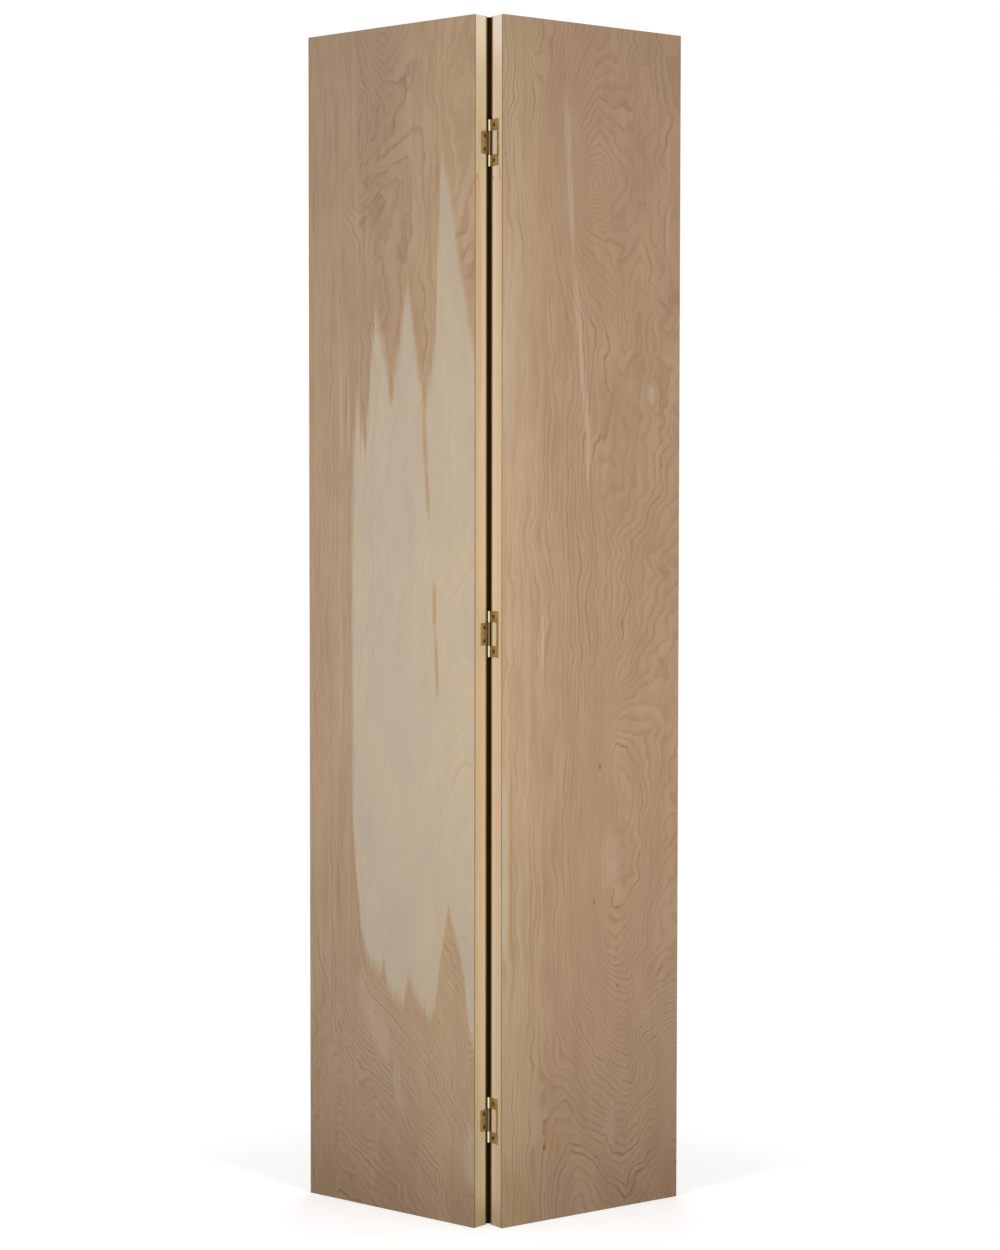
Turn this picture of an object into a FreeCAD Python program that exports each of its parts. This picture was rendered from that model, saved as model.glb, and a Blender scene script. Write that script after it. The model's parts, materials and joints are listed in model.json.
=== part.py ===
"""Two-panel flush bifold closet door with a hollow core, in millimetres.

Every piece is drawn as it stands when the door is shut: the pins of the three hinges lie on the Z axis,
the panels reach to the left (-X) and to the right (+X) of it with a narrow gap between them, and their
front faces look towards -Y.  Each panel is then swung back about the pins by half the fold, with its own
half of every hinge, and the whole door is set with the middle of its footprint on the origin, standing
on z = 0.

A place on a panel is given by its run (from the meeting edge towards the outer edge), its depth (from
the back face towards the front face) and its height.  A place on a hinge is given by its reach (from the
pin line towards the front) and its height above the middle of the hinge.
"""

import FreeCAD
import Part
import Sketcher

import math
import os
import re

from FreeCAD import Placement, Rotation, Vector

# Driving dimensions in millimetres and degrees: name, value, meaning.
DIMENSIONS = (
    ("door_height", 2006.6, "height of both panels"),
    ("panel_width", 374.65, "width of one panel"),
    ("panel_thickness", 31.75, "thickness of one panel over its veneers"),
    ("veneer_thickness", 0.6, "birch veneer"),
    ("edge_easing", 0.4, "rounding of the veneer's outer edges"),
    ("skin_thickness", 2.6, "hardboard skin under each veneer"),
    ("stile_width", 38.1, "upright frame pieces"),
    ("rail_height", 38.1, "frame pieces across the top and bottom"),
    ("cell_width", 60.0, "wanted width of a honeycomb cell"),
    ("paper_thickness", 0.5, "kraft paper strips of the honeycomb"),
    ("staple_crown", 12.7, "width of a staple over its legs"),
    ("staple_leg", 10.0, "length of a staple's legs over the crown"),
    ("staple_wire", 1.2, "square wire of the staples"),
    ("socket_diameter", 9.525, "holes for the pivot and guide pins"),
    ("socket_depth", 38.1, "depth of those holes"),
    ("socket_inset", 22.225, "from the outer edge to the middle of those holes"),
    ("half_fold", 37.65, "angle that each panel stands back from shut"),
    ("meeting_gap", 3.175, "gap between the meeting edges when shut"),
    ("bottom_hinge_height", 177.0, "from the bottom of the door to the middle of the lowest hinge"),
    ("middle_hinge_height", 990.6, "from the bottom of the door to the middle of the middle hinge"),
    ("top_hinge_drop", 206.4, "from the top of the door to the middle of the highest hinge"),
    ("hinge_height", 76.2, "height of a hinge"),
    ("leaf_thickness", 1.6, "sheet metal of both leaves"),
    ("leaf_rounding", 0.25, "stamped rounding round the leaf's face"),
    ("leaf_corner_radius", 3.0, "rounded corners of the tongue and the window"),
    ("frame_leaf_reach", 25.0, "from the pin line to the far edge of the frame leaf"),
    ("frame_bar_width", 4.1, "upright bar beyond the frame leaf's window"),
    ("tongue_clearance", 1.3, "air between the tongue and the window when shut"),
    ("pin_diameter", 4.0, "hinge pin"),
    ("pin_clearance", 0.05, "running clearance round the pin in the middle knuckle"),
    ("pin_bevel", 0.4, "bevel at the ends of the pin"),
    ("knuckle_air", 0.8, "air between the knuckles and the back faces of the panels"),
    ("knuckle_end_gap", 0.4, "air between one knuckle and the next"),
    ("middle_knuckle_length", 38.8, "knuckle of the tongue leaf"),
    ("seam_width", 0.3, "slit where the rolled knuckle comes back to its leaf"),
    ("frame_screw_inset", 12.0, "from the far edge of the frame leaf to its screws"),
    ("head_margin", 1.0, "flat metal between a screw head in the tongue and its rounded corner"),
    ("screw_length", 19.05, "length of a screw"),
    ("screw_diameter", 3.5, "over the threads"),
    ("screw_root_diameter", 2.5, "between the threads"),
    ("screw_pitch", 1.41, "from thread to thread"),
    ("screw_point_length", 3.5, "bare point of a screw"),
    ("screw_neck_length", 4.5, "smooth neck under the head"),
    ("screw_head_diameter", 6.8, "countersunk head"),
    ("screw_head_angle", 82.0, "full angle of the countersink"),
    ("screw_clearance", 0.05, "air round a screw in its hole"),
    ("recess_span", 3.9, "cross recess, from tip to tip"),
    ("recess_width", 1.0, "width of the cross recess's slots"),
    ("recess_depth", 1.3, "depth of the cross recess"),
)

# Sizes that follow from the driving dimensions.
FORMULAS = {
    "half_gap": "meeting_gap / 2",
    "face_depth": "veneer_thickness + skin_thickness",
    "frame_thickness": "panel_thickness - 2 * face_depth",
    "core_width": "panel_width - 2 * stile_width",
    "core_height": "door_height - 2 * rail_height",
    "pin_radius": "pin_diameter / 2",
    "knuckle_radius": "pin_radius + leaf_thickness",
    "pin_setback": "knuckle_radius + knuckle_air",
    "curl_middle": "pin_radius + leaf_thickness / 2",
    "window_height": "middle_knuckle_length + 2 * knuckle_end_gap",
    "window_reach": "frame_leaf_reach - frame_bar_width",
    "tab_height": "(hinge_height - window_height) / 2",
    "tongue_height": "window_height - 2 * tongue_clearance",
    "tongue_reach": "window_reach - tongue_clearance",
    "tongue_screw_reach": "(knuckle_radius + tongue_reach) / 2",
    "tongue_screw_height": "tongue_height / 2 - leaf_corner_radius - head_margin - screw_head_diameter / 2",
    "frame_screw_reach": "frame_leaf_reach - frame_screw_inset",
    "frame_screw_height": "(hinge_height - tab_height) / 2",
    "screw_head_height": "(screw_head_diameter - screw_diameter) / 2 / tan(screw_head_angle / 2)",
    "top_hinge_height": "door_height - top_hinge_drop",
    # Farthest back and farthest forward that the swung panels reach from the pins, over eased corners.
    "back_reach": "(half_gap + panel_width - edge_easing) * sin(half_fold)"
                  " - (pin_setback + edge_easing) * cos(half_fold) + edge_easing",
    "front_reach": "(pin_setback + panel_thickness - edge_easing) * cos(half_fold)"
                   " - (half_gap + edge_easing) * sin(half_fold) + edge_easing",
    "pin_line_y": "(front_reach - back_reach) / 2",
}

DRIVING = {name for name, size, meaning in DIMENSIONS}
SIDES = {"left": -1, "right": 1}
LEAF_OF_SIDE = {"left": "tongue", "right": "frame"}
SIDE_OF_LEAF = {"tongue": "left", "frame": "right"}
HINGES = {
    "bottom": "bottom_hinge_height",
    "middle": "middle_hinge_height",
    "top": "top_hinge_height",
}
# Corners of an edge that lie closer than this count as one place.
TOLERANCE = 1e-4

doc =FreeCAD.newDocument("bifold_door")
sizes = doc.addObject("Spreadsheet::Sheet", "sizes")
for row, (name, size, meaning) in enumerate(DIMENSIONS, 1):
    sizes.set(f"A{row}", meaning)
    sizes.set(f"B{row}", str(size))
    sizes.setAlias(f"B{row}", name)
doc.recompute()


# Formulas and values


def spell_out(formula):
    """Write a formula with sheet cells for driving dimensions and in full for the sizes that follow."""
    def spell(match):
        name = match.group()
        if name in FORMULAS:
            return f"({spell_out(FORMULAS[name])})"
        return f"sizes.{name}" if name in DRIVING else name
    return re.sub("[a-z_]+", spell, formula)


def value(formula):
    """The number that a formula gives with the present driving dimensions."""
    return float(sizes.evalExpression(spell_out(formula)))


def bind(item, prop, formula):
    """Tie a property of a document object to a formula."""
    item.setExpression(prop, spell_out(formula))


# Sketches


def new_body(label):
    body = doc.addObject("PartDesign::Body", label)
    body.Label = label
    return body


def new_sketch(body, name, plane, offset):
    """A sketch on one of the body's origin planes, moved along the plane's normal by offset."""
    sketch = body.newObject("Sketcher::SketchObject", f"{body.Name}_{name}_sketch")
    support = next(feature for feature in body.Origin.OriginFeatures if feature.Role == plane)
    sketch.AttachmentSupport = [(support, "")]
    sketch.MapMode = "FlatFace"
    bind(sketch, "AttachmentOffset.Base.z", offset)
    return sketch


def hold(sketch, kind, *where, formula):
    """Add a dimension to a sketch and tie it to a formula."""
    number = sketch.addConstraint(Sketcher.Constraint(kind, *where, value(formula)))
    bind(sketch, f"Constraints[{number}]", formula)


def hold_point(sketch, curve, point, across, up):
    hold(sketch, "DistanceX", -1, 1, curve, point, formula=across)
    hold(sketch, "DistanceY", -1, 1, curve, point, formula=up)


def draw_outline(sketch, corners):
    """Join corners, each given by two formulas, with straight lines into a closed outline."""
    points = [Vector(value(across), value(up), 0) for across, up in corners]
    first = sketch.GeometryCount
    count = len(corners)
    for number in range(count):
        sketch.addGeometry(Part.LineSegment(points[number], points[(number + 1) % count]), False)
    for number, (across, up) in enumerate(corners):
        following = (number + 1) % count
        sketch.addConstraint(Sketcher.Constraint("Coincident", first + number, 2, first + following, 1))
        hold_point(sketch, first + number, 1, across, up)


def draw_rectangle(sketch, left, right, low, high):
    draw_outline(sketch, ((left, low), (right, low), (right, high), (left, high)))


def draw_circle(sketch, radius, across="0", up="0"):
    centre = Vector(value(across), value(up), 0)
    circle = sketch.addGeometry(Part.Circle(centre, Vector(0, 0, 1), value(radius)), False)
    hold_point(sketch, circle, 3, across, up)
    hold(sketch, "Radius", circle, formula=radius)


# Features


def pad(sketch, length):
    body = sketch.getParentGeoFeatureGroup()
    feature = body.newObject("PartDesign::Pad", sketch.Name.replace("sketch", "pad"))
    feature.Profile = sketch
    bind(feature, "Length", length)
    doc.recompute()
    return feature


def pocket(sketch, length):
    """Cut a sketch's outlines into its body, along the sketch plane's normal."""
    body = sketch.getParentGeoFeatureGroup()
    before = body.Shape.Volume
    feature = body.newObject("PartDesign::Pocket", sketch.Name.replace("sketch", "pocket"))
    feature.Profile = sketch
    feature.Reversed = True
    bind(feature, "Length", length)
    doc.recompute()
    check_cut(feature, before)
    return feature


def turn(sketch, kind):
    """Turn a sketch about its construction line: a Revolution adds what it sweeps, a Groove removes it."""
    body = sketch.getParentGeoFeatureGroup()
    before = body.Shape.Volume if kind == "Groove" else 0
    feature = body.newObject(f"PartDesign::{kind}", sketch.Name.replace("sketch", kind.lower()))
    feature.Profile = sketch
    feature.ReferenceAxis = (sketch, ["Axis0"])
    feature.Angle = 360
    doc.recompute()
    if kind == "Groove":
        check_cut(feature, before)
    return feature


def check_cut(feature, before):
    if feature.Shape.Volume >= before:
        raise RuntimeError(f"{feature.Name} removes nothing")


def round_edges(body, kind, size, chosen):
    """Fillet or chamfer the edges of a body's last feature that chosen() picks by their bounding box."""
    base = body.Tip
    names = [f"Edge{number}" for number, edge in enumerate(base.Shape.Edges, 1) if chosen(edge.BoundBox)]
    if not names:
        raise RuntimeError(f"{body.Name} has no edge to ease")
    feature = body.newObject(f"PartDesign::{kind}", f"{body.Name}_{kind.lower()}")
    feature.Base = (base, names)
    bind(feature, "Radius" if kind == "Fillet" else "Size", size)
    doc.recompute()
    return feature


def near(one, other):
    return abs(one - other) < TOLERANCE


# Placement


def swing(piece, side, height="0"):
    """Swing a piece drawn in the shut door back by half the fold, and set it in the door's frame."""
    piece.Placement = Placement(Vector(), Rotation(Vector(0, 0, 1), SIDES[side] * value("half_fold")))
    bind(piece, "Placement.Rotation.Angle", f"{SIDES[side]} * half_fold")
    bind(piece, "Placement.Base.y", "pin_line_y")
    bind(piece, "Placement.Base.z", height)


def across(side, run):
    """X of a run from the meeting edge."""
    return f"{SIDES[side]} * (half_gap + {run})"


def back_from_front(depth):
    """Y of a depth from the back face."""
    return f"-(pin_setback + {depth})"


# Panels


def slab(side, part, run, depth, height):
    """A board of a panel, between two runs, two depths and two heights."""
    body = new_body(f"{side}_{part}")
    sketch = new_sketch(body, "outline", "XY_Plane", height[0])
    draw_rectangle(sketch, across(side, run[0]), across(side, run[1]),
                   back_from_front(depth[0]), back_from_front(depth[1]))
    pad(sketch, f"({height[1]}) - ({height[0]})")
    return body


def veneer(side, face):
    """A face veneer, with the four edges of its outer face eased."""
    depth = {
        "front": ("panel_thickness - veneer_thickness", "panel_thickness"),
        "back": ("veneer_thickness", "0"),
    }[face]
    body = slab(side, f"{face}_veneer", ("0", "panel_width"), depth, ("0", "door_height"))
    face_y = value(back_from_front(depth[1]))
    round_edges(body, "Fillet", "edge_easing", lambda box: (
        near(box.YMin, face_y) and near(box.YMax, face_y)))
    swing(body, side)


def skin(side, face):
    depth = {
        "front": ("panel_thickness - face_depth", "panel_thickness - veneer_thickness"),
        "back": ("veneer_thickness", "face_depth"),
    }[face]
    body = slab(side, f"{face}_skin", ("0", "panel_width"), depth, ("0", "door_height"))
    swing(body, side)


# Runs of the two joints between stiles and rails, and heights of the two rails.
JOINT_RUNS = {"hinge": "stile_width", "outer": "panel_width - stile_width"}
RAIL_FLOORS = {"bottom": "0", "top": "door_height - rail_height"}
# A staple in the front of a joint stands a third of the way up the rail, one in the back two thirds.
STAPLE_FACES = {
    "front": ("panel_thickness - face_depth", "-1", "rail_height / 3"),
    "back": ("face_depth", "1", "rail_height * 2 / 3"),
}
# Outline of a staple: from the middle of its crown along the run, and from the crown towards its points.
STAPLE_OUTLINE = (
    ("-staple_crown / 2", "0"),
    ("staple_crown / 2", "0"),
    ("staple_crown / 2", "staple_leg"),
    ("(staple_crown / 2 - staple_wire)", "staple_leg"),
    ("(staple_crown / 2 - staple_wire)", "staple_wire"),
    ("-(staple_crown / 2 - staple_wire)", "staple_wire"),
    ("-(staple_crown / 2 - staple_wire)", "staple_leg"),
    ("-staple_crown / 2", "staple_leg"),
)


def staple_sketch(body, side, rail_place, face, joints):
    """The outlines of the staples across some joints of a rail, in one face of the frame."""
    crown_depth, inward, rise = STAPLE_FACES[face]
    height = f"{RAIL_FLOORS[rail_place]} + {rise} - staple_wire / 2"
    sketch = new_sketch(body, f"{rail_place}_{face}_staple", "XY_Plane", height)
    for joint in joints:
        draw_outline(sketch, [
            (across(side, f"{JOINT_RUNS[joint]} + {run}"),
             back_from_front(f"{crown_depth} + {inward} * ({depth})"))
            for run, depth in STAPLE_OUTLINE])
    return sketch


def joint_staples(side):
    """Eight staples, two across each joint of stile and rail, sunk flush in the frame's faces."""
    body = new_body(f"{side}_joint_staples")
    for rail in RAIL_FLOORS:
        for face in STAPLE_FACES:
            pad(staple_sketch(body, side, rail, face, JOINT_RUNS), "staple_wire")
    swing(body, side)


def rail(side, place):
    """A rail between the stiles."""
    floor = RAIL_FLOORS[place]
    body = slab(side, f"{place}_rail", ("stile_width", "panel_width - stile_width"),
                ("face_depth", "panel_thickness - face_depth"), (floor, f"{floor} + rail_height"))
    for face in STAPLE_FACES:
        pocket(staple_sketch(body, side, place, face, JOINT_RUNS), "staple_wire")
    swing(body, side)


def stile(side, place, run):
    """A stile as tall as the door, cut for the staples."""
    body = slab(side, f"{place}_stile", run, ("face_depth", "panel_thickness - face_depth"),
                ("0", "door_height"))
    for rail_place in RAIL_FLOORS:
        for face in STAPLE_FACES:
            pocket(staple_sketch(body, side, rail_place, face, (place,)), "staple_wire")
    return body


def hinge_stile(side):
    """The stile at the meeting edge, with a hole for each hinge screw."""
    body = stile(side, "hinge", ("0", "stile_width"))
    leaf = LEAF_OF_SIDE[side]
    for hinge, middle in HINGES.items():
        for end, sign in (("low", "-"), ("high", "+")):
            height = f"{middle} {sign} {leaf}_screw_height"
            hole = screw_sketch(body, f"{hinge}_{end}_screw", leaf, height, clearance="screw_clearance")
            turn(hole, "Groove")
    swing(body, side)


def outer_stile(side, socket_floors):
    """The stile at the outer edge, with a socket for a pin in its bottom or top end."""
    body = stile(side, "outer", ("panel_width - stile_width", "panel_width"))
    for end in socket_floors:
        floor = {"bottom": "0", "top": "door_height - socket_depth"}[end]
        sketch = new_sketch(body, f"{end}_socket", "XY_Plane", floor)
        draw_circle(sketch, "socket_diameter / 2", across(side, "panel_width - socket_inset"),
                    back_from_front("panel_thickness / 2"))
        pocket(sketch, "socket_depth")
    swing(body, side)


def honeycomb_core(side):
    """Expanded paper honeycomb between the stiles and rails: upright strips that zigzag and are glued
    to each other, and to the stiles, along their upright runs.

    A wave of a strip is six levels high: half an upright run of two levels, one level to cross its band,
    an upright run, one level to cross back, and the other half of the first run.
    """
    strips = 2 * max(1, round(value("core_width / cell_width")))
    band = value("core_width") / strips
    rise = band / math.sqrt(3)
    waves = max(1, round(value("core_height") / (6 * rise)))
    step = value("core_height") / (6 * waves)
    paper = value("paper_thickness")
    floor = value("rail_height")
    near_run = value("half_gap + stile_width")
    back = value(back_from_front("face_depth"))

    def strip(number):
        """One strip, in X from its band's left to its right side and back, from the bottom up."""
        low_x = near_run + number * band
        sides = (low_x, low_x + band - paper)
        runs = [(0, number % 2)]
        for wave in range(waves):
            base = 6 * wave
            runs += [(base + 1, number % 2), (base + 2, 1 - number % 2),
                     (base + 4, 1 - number % 2), (base + 5, number % 2)]
        runs.append((6 * waves, number % 2))
        left = [Vector(sides[which], back, floor + level * step) for level, which in runs]
        right = [point + Vector(paper, 0, 0) for point in reversed(left)]
        outline = Part.Face(Part.makePolygon(left + right + left[:1]))
        return outline.extrude(Vector(0, -value("frame_thickness"), 0))

    core = strip(0).multiFuse([strip(number) for number in range(1, strips)])
    if side == "left":
        core = core.mirror(Vector(), Vector(1, 0, 0))
    piece = doc.addObject("Part::Feature", f"{side}_honeycomb_core")
    piece.Label = f"{side}_honeycomb_core"
    piece.Shape = core
    swing(piece, side)


def panel(side, socket_ends):
    for face in ("front", "back"):
        veneer(side, face)
        skin(side, face)
    hinge_stile(side)
    outer_stile(side, socket_ends)
    for place in RAIL_FLOORS:
        rail(side, place)
    honeycomb_core(side)
    joint_staples(side)


# Hinges


def screw_sketch(body, name, leaf, height, clearance="0", threads=False):
    """Half the outline of a screw that is driven through a leaf into its panel's meeting edge."""
    side = SIDE_OF_LEAF[leaf]

    def corner(depth, radius):
        """A corner at a depth below the leaf's face and a radius from the screw's axis."""
        x = f"{SIDES[side]} * (half_gap - leaf_thickness + {depth})"
        return x, f"-({leaf}_screw_reach - ({radius}))"

    head, shank = f"screw_head_diameter / 2 + {clearance}", f"screw_diameter / 2 + {clearance}"
    outline = [corner("0", "0"), corner("0", head), corner("screw_head_height", shank)]
    if threads:
        outline += [corner(*point) for point in thread_points()]
    outline.append(corner("screw_length - screw_point_length", shank))
    outline.append(corner(f"screw_length + {clearance}", "0"))
    sketch = new_sketch(body, name, "XY_Plane", height)
    axis = Part.LineSegment(*(Vector(value(x), value(y), 0) for x, y in (outline[0], outline[-1])))
    draw_outline(sketch, outline)
    line = sketch.addGeometry(axis, True)
    sketch.addConstraint(Sketcher.Constraint("Coincident", line, 1, 0, 1))
    sketch.addConstraint(Sketcher.Constraint("Coincident", line, 2, len(outline) - 1, 1))
    return sketch


def thread_points():
    """Depths and radii of the screw's thread ridges, between the neck and the point."""
    room = value("screw_length - screw_point_length - screw_head_height - screw_neck_length")
    ridges = max(1, math.floor(room / value("screw_pitch")))
    points = [("screw_head_height + screw_neck_length", "screw_diameter / 2")]
    for ridge in range(ridges):
        groove = f"screw_head_height + screw_neck_length + screw_pitch * {ridge + 0.5}"
        crest = f"screw_head_height + screw_neck_length + screw_pitch * {ridge + 1}"
        points.append((groove, "screw_root_diameter / 2"))
        points.append((crest, "screw_diameter / 2"))
    return points


def repeat_upwards(body, features, spacing):
    """Repeat features once, higher up the hinge."""
    pattern = body.newObject("PartDesign::LinearPattern", f"{body.Name}_pair")
    pattern.Originals = features
    pattern.Direction = (next(f for f in body.Origin.OriginFeatures if f.Role == "Z_Axis"), [""])
    pattern.Occurrences = 2
    bind(pattern, "Length", spacing)
    body.Tip = pattern
    doc.recompute()


def screws(hinge, leaf):
    """The two screws of a leaf, with cross recesses."""
    side = SIDE_OF_LEAF[leaf]
    body = new_body(f"{hinge}_hinge_{leaf}_screws")
    shank = turn(screw_sketch(body, "screw", leaf, f"-{leaf}_screw_height", threads=True), "Revolution")

    # The recess is drawn on the leaf's face and cut along +X, so on the right it starts at its floor.
    face = {"left": "-half_gap + leaf_thickness - recess_depth", "right": "half_gap - leaf_thickness"}[side]
    sketch = new_sketch(body, "recess", "YZ_Plane", face)
    arm, slot = "recess_span / 2", "recess_width / 2"
    quarter = ((slot, slot), (slot, arm), (f"-{slot}", arm))
    turns = ((1, 0), (0, -1), (-1, 0), (0, 1))
    corners = []
    for cosine, sine in turns:
        for first, second in quarter:
            corners.append((f"-{leaf}_screw_reach + {cosine} * ({first}) + {sine} * ({second})",
                            f"-{leaf}_screw_height - {sine} * ({first}) + {cosine} * ({second})"))
    draw_outline(sketch, corners)
    recess = pocket(sketch, "recess_depth")
    repeat_upwards(body, [shank, recess], f"2 * {leaf}_screw_height")
    swing(body, side, HINGES[hinge])


def leaf_sheet(body, leaf):
    """The flat of a leaf, against its panel's meeting edge, from the curl to the leaf's far edge."""
    low_x = {"tongue": "-half_gap", "frame": "half_gap - leaf_thickness"}[leaf]
    sketch = new_sketch(body, "flat", "YZ_Plane", low_x)
    far, near_pin = {"tongue": "-tongue_reach", "frame": "-frame_leaf_reach"}[leaf], "-curl_middle"
    top = {"tongue": "tongue_height / 2", "frame": "hinge_height / 2"}[leaf]
    if leaf == "tongue":
        draw_rectangle(sketch, far, near_pin, f"-{top}", top)
    else:
        bar, sill = "-window_reach", "window_height / 2"
        draw_outline(sketch, (
            (far, f"-({top})"), (near_pin, f"-({top})"), (near_pin, f"-({sill})"), (bar, f"-({sill})"),
            (bar, sill), (near_pin, sill), (near_pin, top), (far, top),
        ))
    pad(sketch, "leaf_thickness")

    corner_y = value({"tongue": "-tongue_reach", "frame": "-window_reach"}[leaf])
    corner_z = value({"tongue": "tongue_height / 2", "frame": "window_height / 2"}[leaf])
    round_edges(body, "Fillet", "leaf_corner_radius", lambda box: (
        near(box.YMin, corner_y) and near(box.YMax, corner_y)
        and near(box.ZMin, box.ZMax) and near(abs(box.ZMin), corner_z)))

    face_x = value({"tongue": "-half_gap + leaf_thickness", "frame": "half_gap - leaf_thickness"}[leaf])
    curl_y = value(near_pin)
    round_edges(body, "Fillet", "leaf_rounding", lambda box: (
        near(box.XMin, face_x) and near(box.XMax, face_x) and not near(box.YMin, curl_y)))


def knuckle(body, name, low, length, bore, seam_side):
    """A rolled knuckle round the pin line, with the slit where its end comes back to the leaf's face."""
    ring = new_sketch(body, name, "XY_Plane", low)
    draw_circle(ring, "knuckle_radius")
    draw_circle(ring, bore)
    pad(ring, length)
    seam = new_sketch(body, f"{name}_seam", "XY_Plane", low)
    leaf_face = f"{seam_side} * (leaf_thickness - half_gap)"
    draw_rectangle(seam, leaf_face, f"{leaf_face} + {seam_side} * seam_width",
                   "-pin_setback", "-pin_radius / 2")
    pocket(seam, length)


def leaf(hinge, kind):
    """A hinge leaf: its flat, its knuckles rolled round the pin, and its countersunk screw holes."""
    side = SIDE_OF_LEAF[kind]
    body = new_body(f"{hinge}_hinge_{kind}_leaf")
    leaf_sheet(body, kind)
    seam_side = -SIDES[side]
    if kind == "tongue":
        knuckle(body, "knuckle", "-middle_knuckle_length / 2", "middle_knuckle_length",
                "pin_radius + pin_clearance", seam_side)
    else:
        knuckle(body, "low_knuckle", "-hinge_height / 2", "tab_height", "pin_radius", seam_side)
        knuckle(body, "high_knuckle", "window_height / 2", "tab_height", "pin_radius", seam_side)
    for end, sign in (("low", "-"), ("high", "")):
        height = f"{sign}{kind}_screw_height"
        turn(screw_sketch(body, f"{end}_screw", kind, height, clearance="screw_clearance"), "Groove")
    swing(body, side, HINGES[hinge])


def hinge_pin(hinge):
    """The pin, held fast in the frame leaf's knuckles."""
    body = new_body(f"{hinge}_hinge_pin")
    sketch = new_sketch(body, "pin", "XY_Plane", "-hinge_height / 2")
    draw_circle(sketch, "pin_radius")
    pad(sketch, "hinge_height")
    end_z = value("hinge_height / 2")
    round_edges(body, "Chamfer", "pin_bevel", lambda box: (
        near(box.ZMin, box.ZMax) and near(abs(box.ZMin), end_z)))
    swing(body, "right", HINGES[hinge])


# The door

panel("left", ("bottom", "top"))
panel("right", ("top",))
for place in HINGES:
    leaf(place, "frame")
    leaf(place, "tongue")
    hinge_pin(place)
    screws(place, "frame")
    screws(place, "tongue")
doc.recompute()

for item in doc.Objects:
    if "Invalid" in item.State or "Error" in item.State:
        raise RuntimeError(f"{item.Name} is {item.State}")
pieces = [item for item in doc.Objects if item.TypeId in ("PartDesign::Body", "Part::Feature")]
for piece in pieces:
    if piece.Shape.isNull() or not piece.Shape.isValid() or not piece.Shape.Solids:
        raise RuntimeError(f"{piece.Label} has no sound solid")

os.makedirs("parts", exist_ok=True)
for piece in pieces:
    piece.Shape.exportStep(f"parts/{piece.Label}.step")
    print(f"{piece.Label}: {len(piece.Shape.Solids)} solids, {piece.Shape.Volume:.0f} mm3")
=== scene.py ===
"""Finishes, floor, light and camera for a two-panel bifold closet door."""

import json
import math

import bpy
from mathutils import Matrix, Vector


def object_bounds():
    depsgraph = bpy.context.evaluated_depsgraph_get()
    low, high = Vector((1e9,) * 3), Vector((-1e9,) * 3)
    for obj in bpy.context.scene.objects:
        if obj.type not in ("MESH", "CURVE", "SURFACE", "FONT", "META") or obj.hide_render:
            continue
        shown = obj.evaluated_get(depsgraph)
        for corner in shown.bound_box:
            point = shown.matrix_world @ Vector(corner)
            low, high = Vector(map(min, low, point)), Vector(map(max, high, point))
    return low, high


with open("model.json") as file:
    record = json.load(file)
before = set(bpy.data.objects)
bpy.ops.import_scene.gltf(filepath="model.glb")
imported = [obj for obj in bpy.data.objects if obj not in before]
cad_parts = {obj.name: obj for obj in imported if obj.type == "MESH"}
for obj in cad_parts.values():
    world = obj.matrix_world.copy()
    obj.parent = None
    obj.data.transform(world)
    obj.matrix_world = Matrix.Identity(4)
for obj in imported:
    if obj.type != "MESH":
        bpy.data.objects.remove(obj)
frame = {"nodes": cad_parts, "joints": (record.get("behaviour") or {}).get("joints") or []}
cad_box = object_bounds()

# The scene is in metres, and the finishes are worked out in millimetres.
MILLIMETRES = 1000.0

# Sizes of the door as it is built, in millimetres.
DOOR_HEIGHT = (cad_box[1].z - cad_box[0].z) * MILLIMETRES
PANEL_WIDTH = 374.65
PANEL_THICKNESS = 31.75
MEETING_GAP = 3.175
PIN_SETBACK = 4.4
BARREL_RADIUS = 3.6

# How far each panel stands back from shut, and a point on the line of the pins.
HALF_FOLD = math.radians(37.65)
PIN_LINE = Vector(frame["joints"][0]["pos_m"])

SIDES = ("left", "right")
HINGES = ("bottom", "middle", "top")

# A length far beyond the door, which takes one direction out of a pattern.
ENDLESS = 1.0e6
# A length far beyond the thickness of a sheet, so that its pattern runs straight through it.
THROUGH = 400


def colour(red, green, blue):
    """A colour written as the eight-bit numbers of a swatch, as a shader takes it."""
    def linear(part):
        share = part / 255
        return share / 12.92 if share <= 0.04045 else ((share + 0.055) / 1.055) ** 2.4
    return (linear(red), linear(green), linear(blue), 1.0)


def grey(strength):
    """A grey of this strength, as a shader takes it."""
    return (strength, strength, strength, 1.0)


class Wire:
    """An output of a shader node that works in Python expressions like a number."""

    def __init__(self, tree, socket=None):
        self.tree = tree
        self.socket = socket

    def node(self, kind, settings, inputs, output=0):
        """Adds any node: its settings, then what its sockets hold, and gives back one output."""
        made = self.tree.nodes.new(kind)
        for name, value in settings.items():
            if name == "stops":
                set_stops(made.color_ramp, value)
            else:
                setattr(made, name, value)
        for name, value in inputs.items():
            if isinstance(value, Wire):
                self.tree.links.new(value.socket, made.inputs[name])
            else:
                made.inputs[name].default_value = value
        return Wire(self.tree, made.outputs[output]) if made.outputs else None

    def math(self, operation, *values):
        return self.node("ShaderNodeMath", {"operation": operation}, dict(enumerate(values)))

    def __add__(self, other):
        return self.math("ADD", self, other)

    def __radd__(self, other):
        return self.math("ADD", other, self)

    def __sub__(self, other):
        return self.math("SUBTRACT", self, other)

    def __rsub__(self, other):
        return self.math("SUBTRACT", other, self)

    def __mul__(self, other):
        return self.math("MULTIPLY", self, other)

    def __rmul__(self, other):
        return self.math("MULTIPLY", other, self)

    def __truediv__(self, other):
        return self.math("DIVIDE", self, other)

    def __or__(self, other):
        return self.math("MAXIMUM", self, other)


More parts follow.
